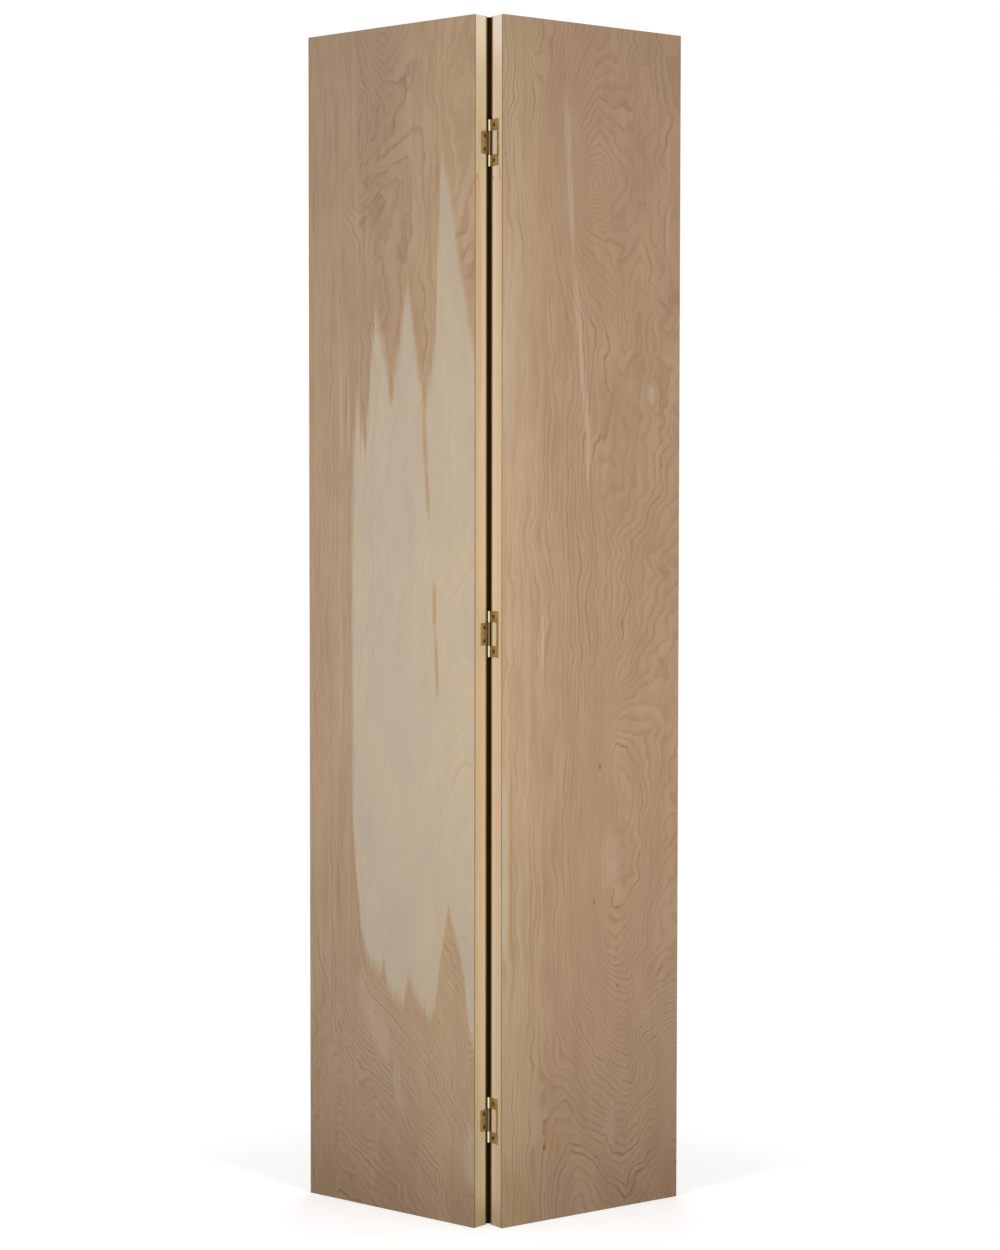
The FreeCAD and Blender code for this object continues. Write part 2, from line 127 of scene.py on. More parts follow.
def set_stops(ramp, stops):
    """Gives a ramp these (place, value) stops, each value a grey."""
    ramp.elements[0].position = stops[0][0]
    ramp.elements[1].position = stops[-1][0]
    for place, _ in stops[1:-1]:
        ramp.elements.new(place)
    for element, (_, value) in zip(ramp.elements, stops):
        element.color = grey(value)


def rise(value, low, high):
    """0 below low and 1 above high, smooth between them; falls where low is the larger."""
    return value.node("ShaderNodeMapRange", {"interpolation_type": "SMOOTHSTEP"},
                      {"Value": value, "From Min": low, "From Max": high})


def blend(share, first, second):
    """The first colour where share is 0 and the second where it is 1."""
    return share.node("ShaderNodeMix", {"data_type": "RGBA"}, {0: share, 6: first, 7: second}, 2)


def parts_of(place):
    """The three numbers of a place: across the panel, into it, and down it."""
    return [place.node("ShaderNodeSeparateXYZ", {}, {0: place}, part) for part in range(3)]


def stretched(place, sizes, centre=(0, 0, 0), tilt=0.0):
    """The place measured from a centre, in units of these sizes, with its axes tilted in the face."""
    return place.node("ShaderNodeMapping", {"vector_type": "TEXTURE"},
                      {"Vector": place, "Location": centre, "Rotation": (0, math.radians(tilt), 0),
                       "Scale": sizes})


def cloud(place, sizes, seed=0, detail=2.0, roughness=0.5, tilt=0.0):
    """Soft noise about zero, whose patches are about as large as these sizes."""
    moved = stretched(place, sizes, (137.0 * seed, 71.0 * seed, 211.0 * seed), tilt)
    noise = place.node("ShaderNodeTexNoise", {},
                       {"Vector": moved, "Scale": 1.0, "Detail": detail, "Roughness": roughness})
    return noise - 0.5


def face_cloud(place, width, height, seed, detail=2.0, roughness=0.5, tilt=0.0):
    """Soft noise over a face, in patches about as wide and as high as this."""
    return cloud(place, (width, THROUGH, height), seed, detail, roughness, tilt)


def mound(place, centre, half_sizes, tilt=0.0):
    """1 at a centre, falling away to 0 all round it."""
    centred = stretched(place, half_sizes, centre, tilt)
    squared = place.node("ShaderNodeVectorMath", {"operation": "DOT_PRODUCT"},
                         {0: centred, 1: centred}, 1)
    return place.math("POWER", 1 / math.e, squared)


def hill(place, across, down, half_width, half_height, tilt=0.0):
    """1 at a point of the face, falling away to 0 in an ellipse round it."""
    return mound(place, (across, 0, down), (half_width, ENDLESS, half_height), tilt)


def material(name, side=None):
    """A new material with its shader, and the place of each point of a panel in millimetres.

    The place is measured rightwards across the panel, back into it, and down from its top.
    Without a side it is measured from the pin line instead.
    """
    made = bpy.data.materials.new(name)
    made.use_nodes = True
    tree = made.node_tree
    start = Wire(tree)
    coordinates = start.node("ShaderNodeTexCoord", {}, {}, "Object")
    turn = {"left": HALF_FOLD, "right": -HALF_FOLD, None: 0.0}[side]
    at_pin = {"left": Vector((PANEL_WIDTH + MEETING_GAP / 2, PANEL_THICKNESS + PIN_SETBACK, 0)),
              "right": Vector((-MEETING_GAP / 2, PANEL_THICKNESS + PIN_SETBACK, 0)),
              None: Vector((0, 0, 0))}[side]
    pin = Vector((PIN_LINE.x, PIN_LINE.y, 0)) * MILLIMETRES
    shift = at_pin - Matrix.Rotation(turn, 3, "Z") @ pin
    place = start.node("ShaderNodeMapping", {"vector_type": "POINT"},
                       {"Vector": coordinates, "Location": (shift.x, shift.y, DOOR_HEIGHT),
                        "Rotation": (0, 0, turn), "Scale": (MILLIMETRES, MILLIMETRES, -MILLIMETRES)})
    return made, place, tree.nodes["Principled BSDF"]


def finish_shader(shader, place, base, roughness, relief, depth, **constants):
    """Joins the colour, roughness and relief of a finish to its shader, and sets its constants."""
    bump = place.node("ShaderNodeBump", {}, {"Height": relief, "Distance": depth, "Strength": 1.0})
    for socket, value in (("Base Color", base), ("Roughness", roughness), ("Normal", bump)):
        place.tree.links.new(value.socket, shader.inputs[socket])
    for socket, value in constants.items():
        shader.inputs[socket.replace("_", " ")].default_value = value


# Birch veneer ---------------------------------------------------------------------------------

HEARTWOOD = {"left": colour(180, 152, 124), "right": colour(184, 152, 122)}
HEARTWOOD_SHADE = colour(138, 106, 80)
WARM_HEARTWOOD = colour(194, 166, 132)
SAPWOOD = colour(190, 175, 157)
SAPWOOD_SHADE = colour(165, 141, 112)
WARM_SAPWOOD = colour(200, 180, 151)
MINERAL_STREAK = colour(172, 130, 74)
PALE_STREAK = colour(198, 177, 151)
PIN_KNOT = colour(92, 62, 42)

# Where the lines that are drawn across a face end, at its right edge.
FAR_EDGE = 374
# How deep the relief of sanded veneer is, in metres.
VENEER_RELIEF = 0.00012


def marks(place, spots, softness=0.7):
    """1 at the middle of each long mark (across, down, half width, half height, tilt), soft at its rim."""
    rim = 0.2
    found = None
    for spot in spots:
        mark = rise(hill(place, *spot), rim, rim + softness)
        found = mark if found is None else found | mark
    return found


def swayed(place, jag, seed):
    """The place pushed left and right, as the growth layers wander along a log: slowly, and by jags."""
    slow = face_cloud(place, 130, 200, seed)
    quick = face_cloud(place, 85, 58, seed + 1, 1.6, 0.45)
    push = place.node("ShaderNodeCombineXYZ", {}, {0: 50 * slow + jag * quick})
    return place.node("ShaderNodeVectorMath", {"operation": "ADD"}, {0: place, 1: push})


def follow(value, stops):
    """The height at this value of a line drawn through (place, height) stops."""
    first, last = stops[0][0], stops[-1][0]
    top = max(height for _, height in stops)
    shares = [((place - first) / (last - first), height / top) for place, height in stops]
    return top * value.node("ShaderNodeValToRGB", {"stops": shares}, {0: (value - first) / (last - first)})


def relief_map(place, slope, hills, seed):
    """The growth layers' height over a face: its slope, hills (height, then a mark) and ripples."""
    height = slope
    for rings, *mark in hills:
        height = height + rings * hill(place, *mark)
    swell = face_cloud(place, 60, 150, seed)
    ripple = face_cloud(place, 19, 32, seed + 1, 2.0, 0.45)
    return height + 3.0 * swell + 1.2 * ripple


def growth_lines(height):
    """Where the height passes a whole number: the dark late wood, and the shade that leads to it."""
    layer = height.math("FRACT", height)
    ring = height.math("FLOOR", height)
    weight = height.node("ShaderNodeTexWhiteNoise", {"noise_dimensions": "1D"}, {"W": ring})
    thin = rise(layer, 0.50, 0.88) * rise(layer, 1.0, 0.86)
    shade = rise(layer, 0.0, 0.90) * rise(layer, 1.0, 0.90)
    return (0.2 + 0.9 * weight * weight) * thin, shade


def layered_tone(height, place, seed):
    """Light and dark that follow the growth layers, changing slowly along the panel."""
    down = parts_of(place)[2]
    along = place.node("ShaderNodeCombineXYZ", {}, {0: 1.9 * height, 1: down / 260, 2: 7.3 * seed})
    tone = place.node("ShaderNodeTexNoise", {},
                      {"Vector": along, "Scale": 1.0, "Detail": 4.0, "Roughness": 0.62})
    return tone - 0.5


def veneer(name, side, figure, seed):
    """A sheet of rotary-cut birch; figure gives its layers, sapwood and marks at each place."""
    made, place, shader = material(name, side)
    fibre = cloud(place, (0.8, 3.0, 26), seed, 3.0, 0.6)
    streak = cloud(place, (2.2, 30.0, 180), seed + 1, 3.0, 0.6)
    mottle = face_cloud(place, 42, 130, seed + 3, 3.0, 0.55)
    hue = face_cloud(place, 14, 55, seed + 5, 3.0, 0.6)
    look = figure(place, streak)
    thin, shade = growth_lines(look["height"])
    layers = layered_tone(look["height"], place, seed)
    fade = rise(mottle, -0.22, 0.12) * rise(hue, -0.20, 0.12)
    figured = 1 - 0.7 * look["calm"]
    dark = (0.64 * thin * (0.12 + 0.88 * fade) + 0.12 * shade) * figured
    dark = dark - (0.42 + 0.68 * look["calm"]) * layers - 0.36 * fibre - 0.38 * streak - 0.65 * mottle
    # Painted shade, with painted light where it is below 0, then the lighter flecks.
    dark = dark + look["painted_shade"] - 0.6 * look["fleck"]
    brown = blend(look["warm"] + 1.1 * hue, HEARTWOOD[side], WARM_HEARTWOOD)
    heart = blend(dark + 0.08, brown, HEARTWOOD_SHADE)
    cream = blend(0.5 * look["warm"] + 1.5 * mottle + 0.9 * hue + 0.3, SAPWOOD, WARM_SAPWOOD)
    sap = blend(0.34 * dark + 0.07, cream, SAPWOOD_SHADE)
    wood = blend(look["sapwood"], heart, sap)
    wood = blend((0.5 + 1.2 * streak) * look["orange"], wood, MINERAL_STREAK)
    wood = blend(look["pale"] * (0.5 + 1.6 * streak), wood, PALE_STREAK)
    wood = blend(look["knots"], wood, PIN_KNOT)
    finish_shader(shader, place, wood, 0.62 + 0.10 * thin + 0.25 * fibre, fibre - 0.5 * thin,
                  VENEER_RELIEF, Specular_IOR_Level=0.25)
    return made


# The upper and lower edge of the sapwood: places across the panel, and how far down it they lie.
SAPWOOD_TOP = ((102, 700), (108, 690), (113, 610), (120, 700), (126, 650), (132, 705), (140, 605),
               (147, 533), (155, 477), (175, 535), (187, 592), (191, 615), (200, 567), (213, 500),
               (229, 433), (241, 500), (250, 567), (268, 615), (281, 580), (290, 520), (294, 400),
               (299, 300), (303, 207), (325, 300), (343, 400), (367, 520), (FAR_EDGE, 545))
SAPWOOD_BOTTOM = ((100, 1320), (111, 1458), (123, 1545), (133, 1585), (150, 1600), (168, 1612),
                  (174, 1585), (180, 1635), (209, 1655), (216, 1668), (230, 1611), (245, 1648),
                  (265, 1668), (278, 1686), (289, 1655), (299, 1588), (318, 1488), (341, 1553),
                  (356, 1618), (364, 1690), (FAR_EDGE, 1722))

# The middle of the eye near the top of the right face: across the panel, and down it.
EYE = (178, 267)

# A figure says these things of each place on a face:
#   height    the growth layers, with a line at each whole number
#   calm      where the layers hardly show
#    painted_shade  how much darker the wood is painted as shade, and lighter as painted light below 0
#   fleck     how much lighter it is
#   sapwood   where heartwood gives way to sapwood
#   warm      where the tint is warmer
#   orange    mineral streaks
#   pale      pale streaks
#   knots     pin knots


def painted_foot_shade(down):
    """How much darker the wood is painted towards the foot, as painted shade."""
    return 0.26 * rise(down, 1860, 2010)


def left_sapwood(across, down, streak):
    """The cream flame of sapwood, feathered along the grain, and the band that borders it."""
    feathered = across + 9 * streak
    inside = down + 60 * streak - follow(feathered, SAPWOOD_TOP)
    above = follow(feathered, SAPWOOD_BOTTOM) - down + 40 * streak
    sapwood = rise(feathered, 95, 107) * rise(inside, -40, 44) * rise(above, -12, 34)
    halo = rise(feathered, 86, 98) * rise(inside, -90, -10) * rise(above, -30, -4)
    return sapwood, halo


def left_strokes(place):
    """Short slanting strokes: pale ones low on the face, dark ones near its top."""
    pale = rise(face_cloud(place, 4, 24, 31, 2.0, 0.6, 48), 0.05, 0.26)
    dark = rise(face_cloud(place, 5, 26, 37, 2.0, 0.6, -40), 0.04, 0.26)
    return pale * hill(place, 165, 1735, 60, 130, 35) - 0.9 * dark * hill(place, 150, 220, 60, 140)


def left_layers(place, across, down):
    """The height of the growth layers over the left face."""
    moved = swayed(place, 12 + 36 * hill(place, 155, 190, 55, 260) + 40 * rise(down, 1600, 1800), 3)
    along = parts_of(moved)[0]
    high = follow(along, ((0, 0), (60, 7), (110, 13), (200, 17), (FAR_EDGE, 25)))
    low = follow(along, ((0, 0), (60, 6), (200, 10), (300, 17), (FAR_EDGE, 27)))
    slope = high + rise(down, 1500, 1800) * (low - high)
    slope = slope - 22 * rise(across, 10, 70) * rise(down, 1560, 2120)
    return relief_map(moved, slope, (
        (12, 165, -70, 60, 150), (5, 145, 235, 30, 120, -40), (4, 160, 450, 26, 90),
        (2, 325, 120, 30, 90), (2, 330, 390, 40, 160),
        (2, 200, 760, 60, 120), (3, 320, 1120, 50, 150), (3, 190, 1200, 50, 160),
        (18, 345, 1430, 190, 330), (3, 118, 1820, 22, 60)), 4)


def left_figure(place, streak):
    """Brown heartwood with a long cream flame of sapwood on its right."""
    across, _, down = parts_of(place)
    sapwood, halo = left_sapwood(across, down, streak)
    return {
        "height": left_layers(place, across, down),
        "calm": rise(across, 130, 80) * rise(down, 1700, 1400) | 0.7 * hill(place, 300, 180, 100, 260),
        # Painted shade towards the foot, and painted light in a patch above it.
        "painted_shade": painted_foot_shade(down) - 0.16 * hill(place, 205, 1650, 70, 110),
        "fleck": left_strokes(place) + 0.8 * streak * rise(across, 120, 60),
        "sapwood": sapwood,
        "warm": 0.7 * rise(across, 180, 330),
        "orange": (0.38 * halo * (1 - sapwood)) | marks(place, (
            (266, 690, 6, 90, 3), (272, 780, 5, 55, 4), (287, 970, 6, 50), (292, 1070, 5, 70, 2),
            (131, 684, 5, 26), (191, 606, 7, 34), (266, 620, 7, 42)))
        | 0.5 * marks(place, ((103, 780, 6, 150), (98, 1330, 4, 200))),
        "pale": marks(place, ((76, 640, 4, 90), (93, 650, 3, 70), (118, 640, 3, 100), (366, 1890, 18, 60)))
        | 0.45 * marks(place, (
            (106, 90, 4, 150), (112, 290, 4, 80), (140, 370, 14, 60), (233, 120, 9, 150),
            (72, 1050, 5, 260), (147, 1960, 4, 40)))
        | 0.55 * marks(place, ((160, 1700, 26, 110, 32), (206, 1790, 15, 60, 12), (128, 1640, 14, 50, 10))),
        "knots": 0.35 * marks(place, ((142, 498, 1.5, 4), (139, 508, 1.4, 3), (150, 1048, 1.3, 2)), 0.3),
    }


def right_layers(place, across, down):
    """The height of the growth layers over the right face."""
    moved = swayed(place, (12 + 55 * rise(across, 150, 240)) * (1 - hill(place, *EYE, 75, 100)), 7)
    along = parts_of(moved)[0]
    high = follow(along, ((0, 0), (100, 10), (200, 19), (FAR_EDGE, 25)))
    low = follow(along, ((0, 0), (60, 8), (160, 15), (258, 20), (300, 17), (FAR_EDGE, 8)))
    slope = high + rise(down, 1600, 1820) * (low - high)
    slope = slope - 20 * rise(across, 50, 170) * rise(down, 1540, 2140)
    return relief_map(moved, slope, (
        (7, 53, -30, 24, 130), (6, *EYE, 30, 46), (12, 180, 245, 90, 165), (5, 300, 60, 36, 190),
        (3, 247, 480, 24, 120), (3, 327, 380, 34, 150), (3, 313, 613, 15, 30), (2, 200, 760, 34, 90, 25),
        (8, 400, 1090, 150, 330), (5, 240, 1250, 34, 100), (3, 232, 1408, 18, 46),
        (17, 250, 1420, 80, 300, -4), (4, 335, 1860, 26, 120)), 8)


def right_figure(place, _):
    """Brown heartwood all over, straight on its left and full of eyes and flames on its right."""
    across, _, down = parts_of(place)
    strokes = rise(face_cloud(place, 3, 40, 33, 2.0, 0.6, 12), 0.05, 0.25)
    return {
        "height": right_layers(place, across, down),
        "calm": rise(across, 170, 80) * rise(down, 140, 260) * rise(down, 1750, 1600),
        # Painted shade towards the foot and about the middle of the face, and painted light low beside the
        # gap.
        "painted_shade": painted_foot_shade(down) * rise(across, 150, 330)
        + 0.09 * hill(place, 250, 830, 190, 330) - 0.14 * hill(place, 30, 1770, 60, 130),
        "fleck": 0.7 * strokes * hill(place, 150, 850, 60, 330, 8),
        "sapwood": 0.8 * rise(across, 16, 8) * rise(down, 1220, 1290) * rise(down, 1580, 1510),
        "warm": rise(across, 110, 20),
        "orange": marks(place, ((18, 1400, 3, 190), (90, 1880, 4, 12)))
        | 0.4 * marks(place, ((116, 500, 4, 120), (105, 1870, 14, 46, 20), (30, 1960, 30, 90, 30))),
        "pale": marks(place, (
            (133, 190, 8, 70, 3), (140, 300, 7, 110, 4), (154, 480, 8, 110, 5), (170, 620, 8, 120, 6),
            (176, 720, 4, 70), (82, 1050, 4, 95), (313, 613, 11, 20), (12, 560, 16, 200)))
        | 0.5 * marks(place, ((348, 290, 6, 130), (225, 1405, 24, 58), (227, 1865, 14, 48))),
        "knots": 0.6 * marks(place, ((204, 1246, 2, 6), (192, 1475, 1.5, 6), (243, 1623, 1.5, 3.5),
                                     (5, 227, 1.3, 2.2), (87, 1882, 2.5, 5)), 0.5),
    }


def back_figure(middle, drop, seed):
    """The figure of a back sheet: tall flames up its middle, straight grain at both sides.

    Middle is where the flames stand across the sheet, drop is how far down it the second one lies.
    """
    def figure(place, streak):
        across = parts_of(place)[0]
        moved = swayed(place, 12 + 50 * hill(place, middle, 0, 60, ENDLESS), seed)
        slope = follow(parts_of(moved)[0],
                       ((0, 0), (middle - 40, 14), (middle + 20, 14), (FAR_EDGE, 0)))
        flames = ((9, middle, drop - 760, 45, 330), (8, middle + 10, drop, 50, 300),
                  (9, middle - 5, drop + 750, 52, 380), (3, middle + 110, drop + 300, 30, 160))
        orange_streaks = ((middle - 70, drop - 200, 5, 110), (middle + 72, drop + 600, 5, 150))
        pale_streaks = ((middle - 120, drop + 200, 6, 190), (middle + 120, drop - 480, 6, 170))
        pin_knots = ((middle + 50, drop + 410, 2, 5), (middle - 94, drop - 520, 1.5, 4))
        return {
            "height": relief_map(moved, slope, flames, seed + 1),
            "calm": rise(across, middle - 70, middle - 120) | rise(across, middle + 80, middle + 130),
            "painted_shade": 0.0,
            "fleck": 0.5 * rise(streak, 0.08, 0.3),
            "sapwood": 0.5 * rise(face_cloud(place, 90, 1200, seed + 2), 0.04, 0.16),
            "warm": rise(across, middle + 70, middle - 130),
            "orange": marks(place, orange_streaks),
            "pale": 0.6 * marks(place, pale_streaks),
            "knots": 0.6 * marks(place, pin_knots, 0.4),
        }
    return figure


# Solid wood, board and paper ------------------------------------------------------------------

PINE = {"left": (colour(226, 203, 166), colour(198, 168, 122)),
        "right": (colour(228, 205, 172), colour(204, 175, 136))}
# A paler pine, partly painted light towards the top, and the near white of the painted light at the very
# top.
PALE_AND_TOP_LIT_PINE = {"left": colour(236, 218, 178), "right": colour(241, 220, 194)}
TOP_LIGHT_PINE = {"left": colour(250, 234, 204), "right": colour(253, 243, 224)}
RED_PINE = colour(214, 160, 112)
RESIN = colour(128, 80, 40)
RING_SPACING = 4.2
# Rings grow about a pith that lies outside the piece, given for an upright piece and for a level one.
PITH = {True: (-40.0, -55.0), False: (-30.0, -60.0)}
# How far down the stiles their stock was pieced with a glued joint.
PIECING = 262.0
# Pitch at the pieced joint: how deep into the panel, how far down, half its width and half its height.
RESIN_SPOTS = {"left": ((7, PIECING, 1.6, 7),),
               "right": ((9.5, PIECING - 4, 1.4, 13), (27, PIECING + 1, 1.3, 5))}
# Where the wood is darker about the middle of its height: how far down, and half the height of it.
MID_DARKENING = 1180
MID_DARKENING_REACH = 420
# Painted shade near the foot: how far down it begins, and where it is full.
FOOT_SHADE_SPAN = (1940, 2000)
# How deep the relief of planed wood, board and paper is, in metres.
WOOD_RELIEF = 0.0001
PAPER_RELIEF = 0.00005

# The light and the dark colour of each.
PRESSED_BOARD = (colour(180, 146, 110), colour(128, 96, 66))
BROWN_PAPER = (colour(186, 150, 108), colour(150, 112, 74))


def pine(name, side, upright):
    """Planed pine, its rings running up a stile or along a rail."""
    made, place, shader = material(name, side)
    across, into, down = parts_of(place)
    bend = cloud(place, (60, 60, 900) if upright else (900, 60, 60), 2, 2.0)
    fine = cloud(place, (1.2, 1.2, 60) if upright else (60, 1.2, 1.2), 3, 2.0)
    first = (across if upright else down) - PITH[upright][0] + 16 * bend
    second = into - PITH[upright][1] + 16 * bend
    radius = place.math("SQRT", first * first + second * second)
    ring = place.math("FRACT", radius / RING_SPACING)
    late = rise(ring, 0.45, 0.92) * rise(ring, 1.0, 0.93)
    below = rise(down, PIECING - 1, PIECING + 1)
    light, dark = PINE[side]
    wood = blend((0.12 + 0.20 * below) * late + 0.14 - 0.7 * fine - 0.5 * bend, light, dark)
    # Paler towards the back edge, and, as painted light, towards the top.
    pale = rise(into, 12, 31) | 0.8 * rise(down, PIECING, 0)
    wood = blend((0.85 + 0.8 * bend) * pale, wood, PALE_AND_TOP_LIT_PINE[side])
    from_meeting_edge = across if side == "right" else PANEL_WIDTH - across
    # Painted light: the top of the wood, by its meeting edge, nearly white.
    wood = blend(0.9 * rise(down, 110, 5) * rise(from_meeting_edge, 16, 4), wood, TOP_LIGHT_PINE[side])
    redness = 0.25 * below * mound(place, (0, 6, PIECING), (ENDLESS, 3.0, 130))
    wood = blend(redness + 0.04 * below, wood, RED_PINE)
    mid_darkening = 0.4 * mound(place, (0, 0, MID_DARKENING), (ENDLESS, ENDLESS, MID_DARKENING_REACH))
    # Painted shade at the foot.
    painted_pine_foot_shade = 0.75 * rise(down, *FOOT_SHADE_SPAN)
    wood = blend(mid_darkening | painted_pine_foot_shade, wood, dark)
    for depth, height, half_width, half_height in RESIN_SPOTS[side] if upright else ():
        spot = mound(place, (0, depth, height), (ENDLESS, half_width, half_height))
        wood = blend(0.6 * rise(spot, 0.25, 0.9), wood, RESIN)
    finish_shader(shader, place, wood, 0.60 + 0.1 * late + 0.2 * fine, fine - 0.3 * late, WOOD_RELIEF,
                  Specular_IOR_Level=0.25)
    return made


def hardboard(name, side):
    """Pressed brown fibre, speckled, with fine fibres lying flat."""
    made, place, shader = material(name, side)
    speck = cloud(place, (1.1, 0.4, 1.4), 4, 3.0, 0.7)
    patch = cloud(place, (30, 30, 90), 5, 2.0)
    board = blend(0.45 - 1.1 * speck - 0.6 * patch, *PRESSED_BOARD)
    finish_shader(shader, place, board, 0.8 + 0.3 * speck, speck, WOOD_RELIEF, Specular_IOR_Level=0.2)
    return made


def kraft_paper(name, side):
    """Brown paper with short loose fibres."""
    made, place, shader = material(name, side)
    fibre = cloud(place, (0.6, 4.0, 5.0), 6, 3.0, 0.7)
    paper = blend(0.4 - 0.9 * fibre, *BROWN_PAPER)
    finish_shader(shader, place, paper, 0.85 + 0.2 * fibre, fibre, PAPER_RELIEF, Specular_IOR_Level=0.2)
    return made


# Metal ----------------------------------------------------------------------------------------

# The bright, the dull and the coppery colour of each.
LEAF_BRASS = (colour(209, 192, 149), colour(158, 136, 90), colour(188, 137, 111))
PIN_BRASS = (colour(214, 196, 150), colour(168, 146, 96), colour(180, 134, 100))
SCREW_BRASS = (colour(150, 128, 84), colour(84, 66, 38), colour(120, 84, 60))

# The painted shade on the hinge barrels, and the near white of the painted highlight down their front.
BARREL_SHADE_BRASS = colour(72, 52, 18)
BARREL_HIGHLIGHT_BRASS = colour(248, 233, 187)
# What brass reflects where it turns away.
BRASS_EDGE = colour(222, 190, 138)
# How far to each side of its front line a barrel has its painted highlight, and how soft the edge of that
# is.
HIGHLIGHT_WIDTH = 1.3
HIGHLIGHT_EDGE = 0.6

# The dark and the light colour of the wire's skin.
ZINC = (colour(150, 152, 155), colour(202, 204, 206))
# How deep the relief of the metal is, in metres.
METAL_RELIEF = 0.00002


def brass(name, bright, dull, tarnish, dullness, highlight=1.0):
    """Brass plate, gone coppery in places, its barrel painted brown as shade but for a painted highlight
    down its front line.

    The last argument is how bright that painted highlight is, from 0 for a barrel all in painted shade to
    1.
    """
    made, place, shader = material(name)
    patch = cloud(place, (9, 9, 14), 7, 3.0, 0.6)
    rub = cloud(place, (1.5, 1.5, 5), 8, 3.0, 0.6)
    copper = rise(cloud(place, (14, 14, 26), 9, 2.0), 0.02, 0.2)
    plate = blend(0.4 - 1.3 * patch - 0.6 * rub, bright, dull)
    plate = blend(0.6 * copper, plate, tarnish)
    across, into, _ = parts_of(place)
    # Painted shade over the barrel, with a painted highlight down its front line.
    barrel = rise(across * across + into * into, 1.2 * BARREL_RADIUS ** 2, 1.05 * BARREL_RADIUS ** 2)
    near_line = rise(across * across, (HIGHLIGHT_WIDTH + HIGHLIGHT_EDGE) ** 2, (HIGHLIGHT_WIDTH - HIGHLIGHT_EDGE) ** 2)
    front = near_line * rise(into, 0, -1)
    brown = barrel * (1 - highlight * front)
    plate = blend(brown * (1.0 + 0.5 * rub), plate, BARREL_SHADE_BRASS)
    plate = blend(barrel * highlight * front, plate, BARREL_HIGHLIGHT_BRASS)
    roughness = dullness + 0.35 * patch + 0.25 * rub + 0.1 * brown
    lacquer = 0.25 * (1 - barrel)
    place.tree.links.new(lacquer.socket, shader.inputs["Coat Weight"])
    finish_shader(shader, place, plate, roughness, rub, METAL_RELIEF,
                  Metallic=1.0, Specular_Tint=BRASS_EDGE, Coat_Roughness=0.12)
    return made


def steel(name):
    """Drawn wire with a dull zinc skin."""
    made, place, shader = material(name)
    spangle = cloud(place, (1.5, 1.5, 1.5), 3, 3.0, 0.6)
    zinc = blend(0.5 + spangle, *ZINC)
    finish_shader(shader, place, zinc, 0.4 + 0.4 * spangle, spangle, METAL_RELIEF, Metallic=1.0)
    return made


# Dressing -------------------------------------------------------------------------------------


def dress(node, finish):
    """Gives a CAD node its finish."""
    for slot in frame["nodes"][node].material_slots:
        slot.material = finish


def dress_panel(side, front, back, seed):
    """The nine wooden and paper pieces of one panel, front and back being the figures of its faces."""
    stile_pine = pine(side + "_upright_pine", side, True)
    rail_pine = pine(side + "_level_pine", side, False)
    board = hardboard(side + "_hardboard", side)
    dress(side + "_front_veneer", veneer(side + "_front_birch", side, front, seed))
    dress(side + "_back_veneer", veneer(side + "_back_birch", side, back, seed + 20))
    for piece in ("front_skin", "back_skin"):
        dress(side + "_" + piece, board)
    for piece in ("hinge_stile", "outer_stile"):
        dress(side + "_" + piece, stile_pine)
    for piece in ("top_rail", "bottom_rail"):
        dress(side + "_" + piece, rail_pine)
    dress(side + "_honeycomb_core", kraft_paper(side + "_kraft_paper", side))


def dress_hinges():
    """The leaves, pin and screws of the three hinges."""
    frame_brass = brass("frame_brass", *LEAF_BRASS, dullness=0.36)
    # The tongue's barrel, the middle knuckle, is nearly all painted shade, with only a faint painted
    # highlight.
    tongue_brass = brass("tongue_brass", *LEAF_BRASS, dullness=0.36, highlight=0.16)
    pin_brass = brass("pin_brass", *PIN_BRASS, dullness=0.28)
    screw_brass = brass("screw_brass", *SCREW_BRASS, dullness=0.40)
    for hinge in HINGES:
        dress(hinge + "_hinge_frame_leaf", frame_brass)
        dress(hinge + "_hinge_tongue_leaf", tongue_brass)
        dress(hinge + "_hinge_pin", pin_brass)
        for piece in ("frame_screws", "tongue_screws"):
            dress(hinge + "_hinge_" + piece, screw_brass)


def dress_staples():
    """The staples inside both panels."""
    wire_steel = steel("wire_steel")
    for side in SIDES:
        dress(side + "_joint_staples", wire_steel)


# Floor, shadow card, light and camera ---------------------------------------------------------

# Sizes in metres.
FLOOR_SIZE = 1.5
CARD_WIDTH = 0.014
CARD_SETBACK = 0.0046

FLOOR_CORNERS = 96

FLOOR_GREYS = (grey(0.80), grey(0.84))
# The light that the floor sends out where it is seen, and the grey that it lights the door with.
FLOOR_GLOW = 0.40
FLOOR_BOUNCE = grey(0.10)
# The colour of the painted shadow in the gap between the panels.
GAP_SHADOW_BLACK = colour(52, 42, 26)
WHITE = grey(1.0)


def bare_start(owner):
    """The start of a wire in the tree of a material or a world, with all its nodes taken out."""
    owner.use_nodes = True
    owner.node_tree.nodes.clear()
    return Wire(owner.node_tree)


def seen_directly(start):
    """1 for rays that show the picture itself, also by way of metal or glass."""
    path = {name: start.node("ShaderNodeLightPath", {}, {}, name)
            for name in ("Is Camera Ray", "Is Glossy Ray", "Is Transmission Ray")}
    return path["Is Camera Ray"] | path["Is Glossy Ray"] | path["Is Transmission Ray"]


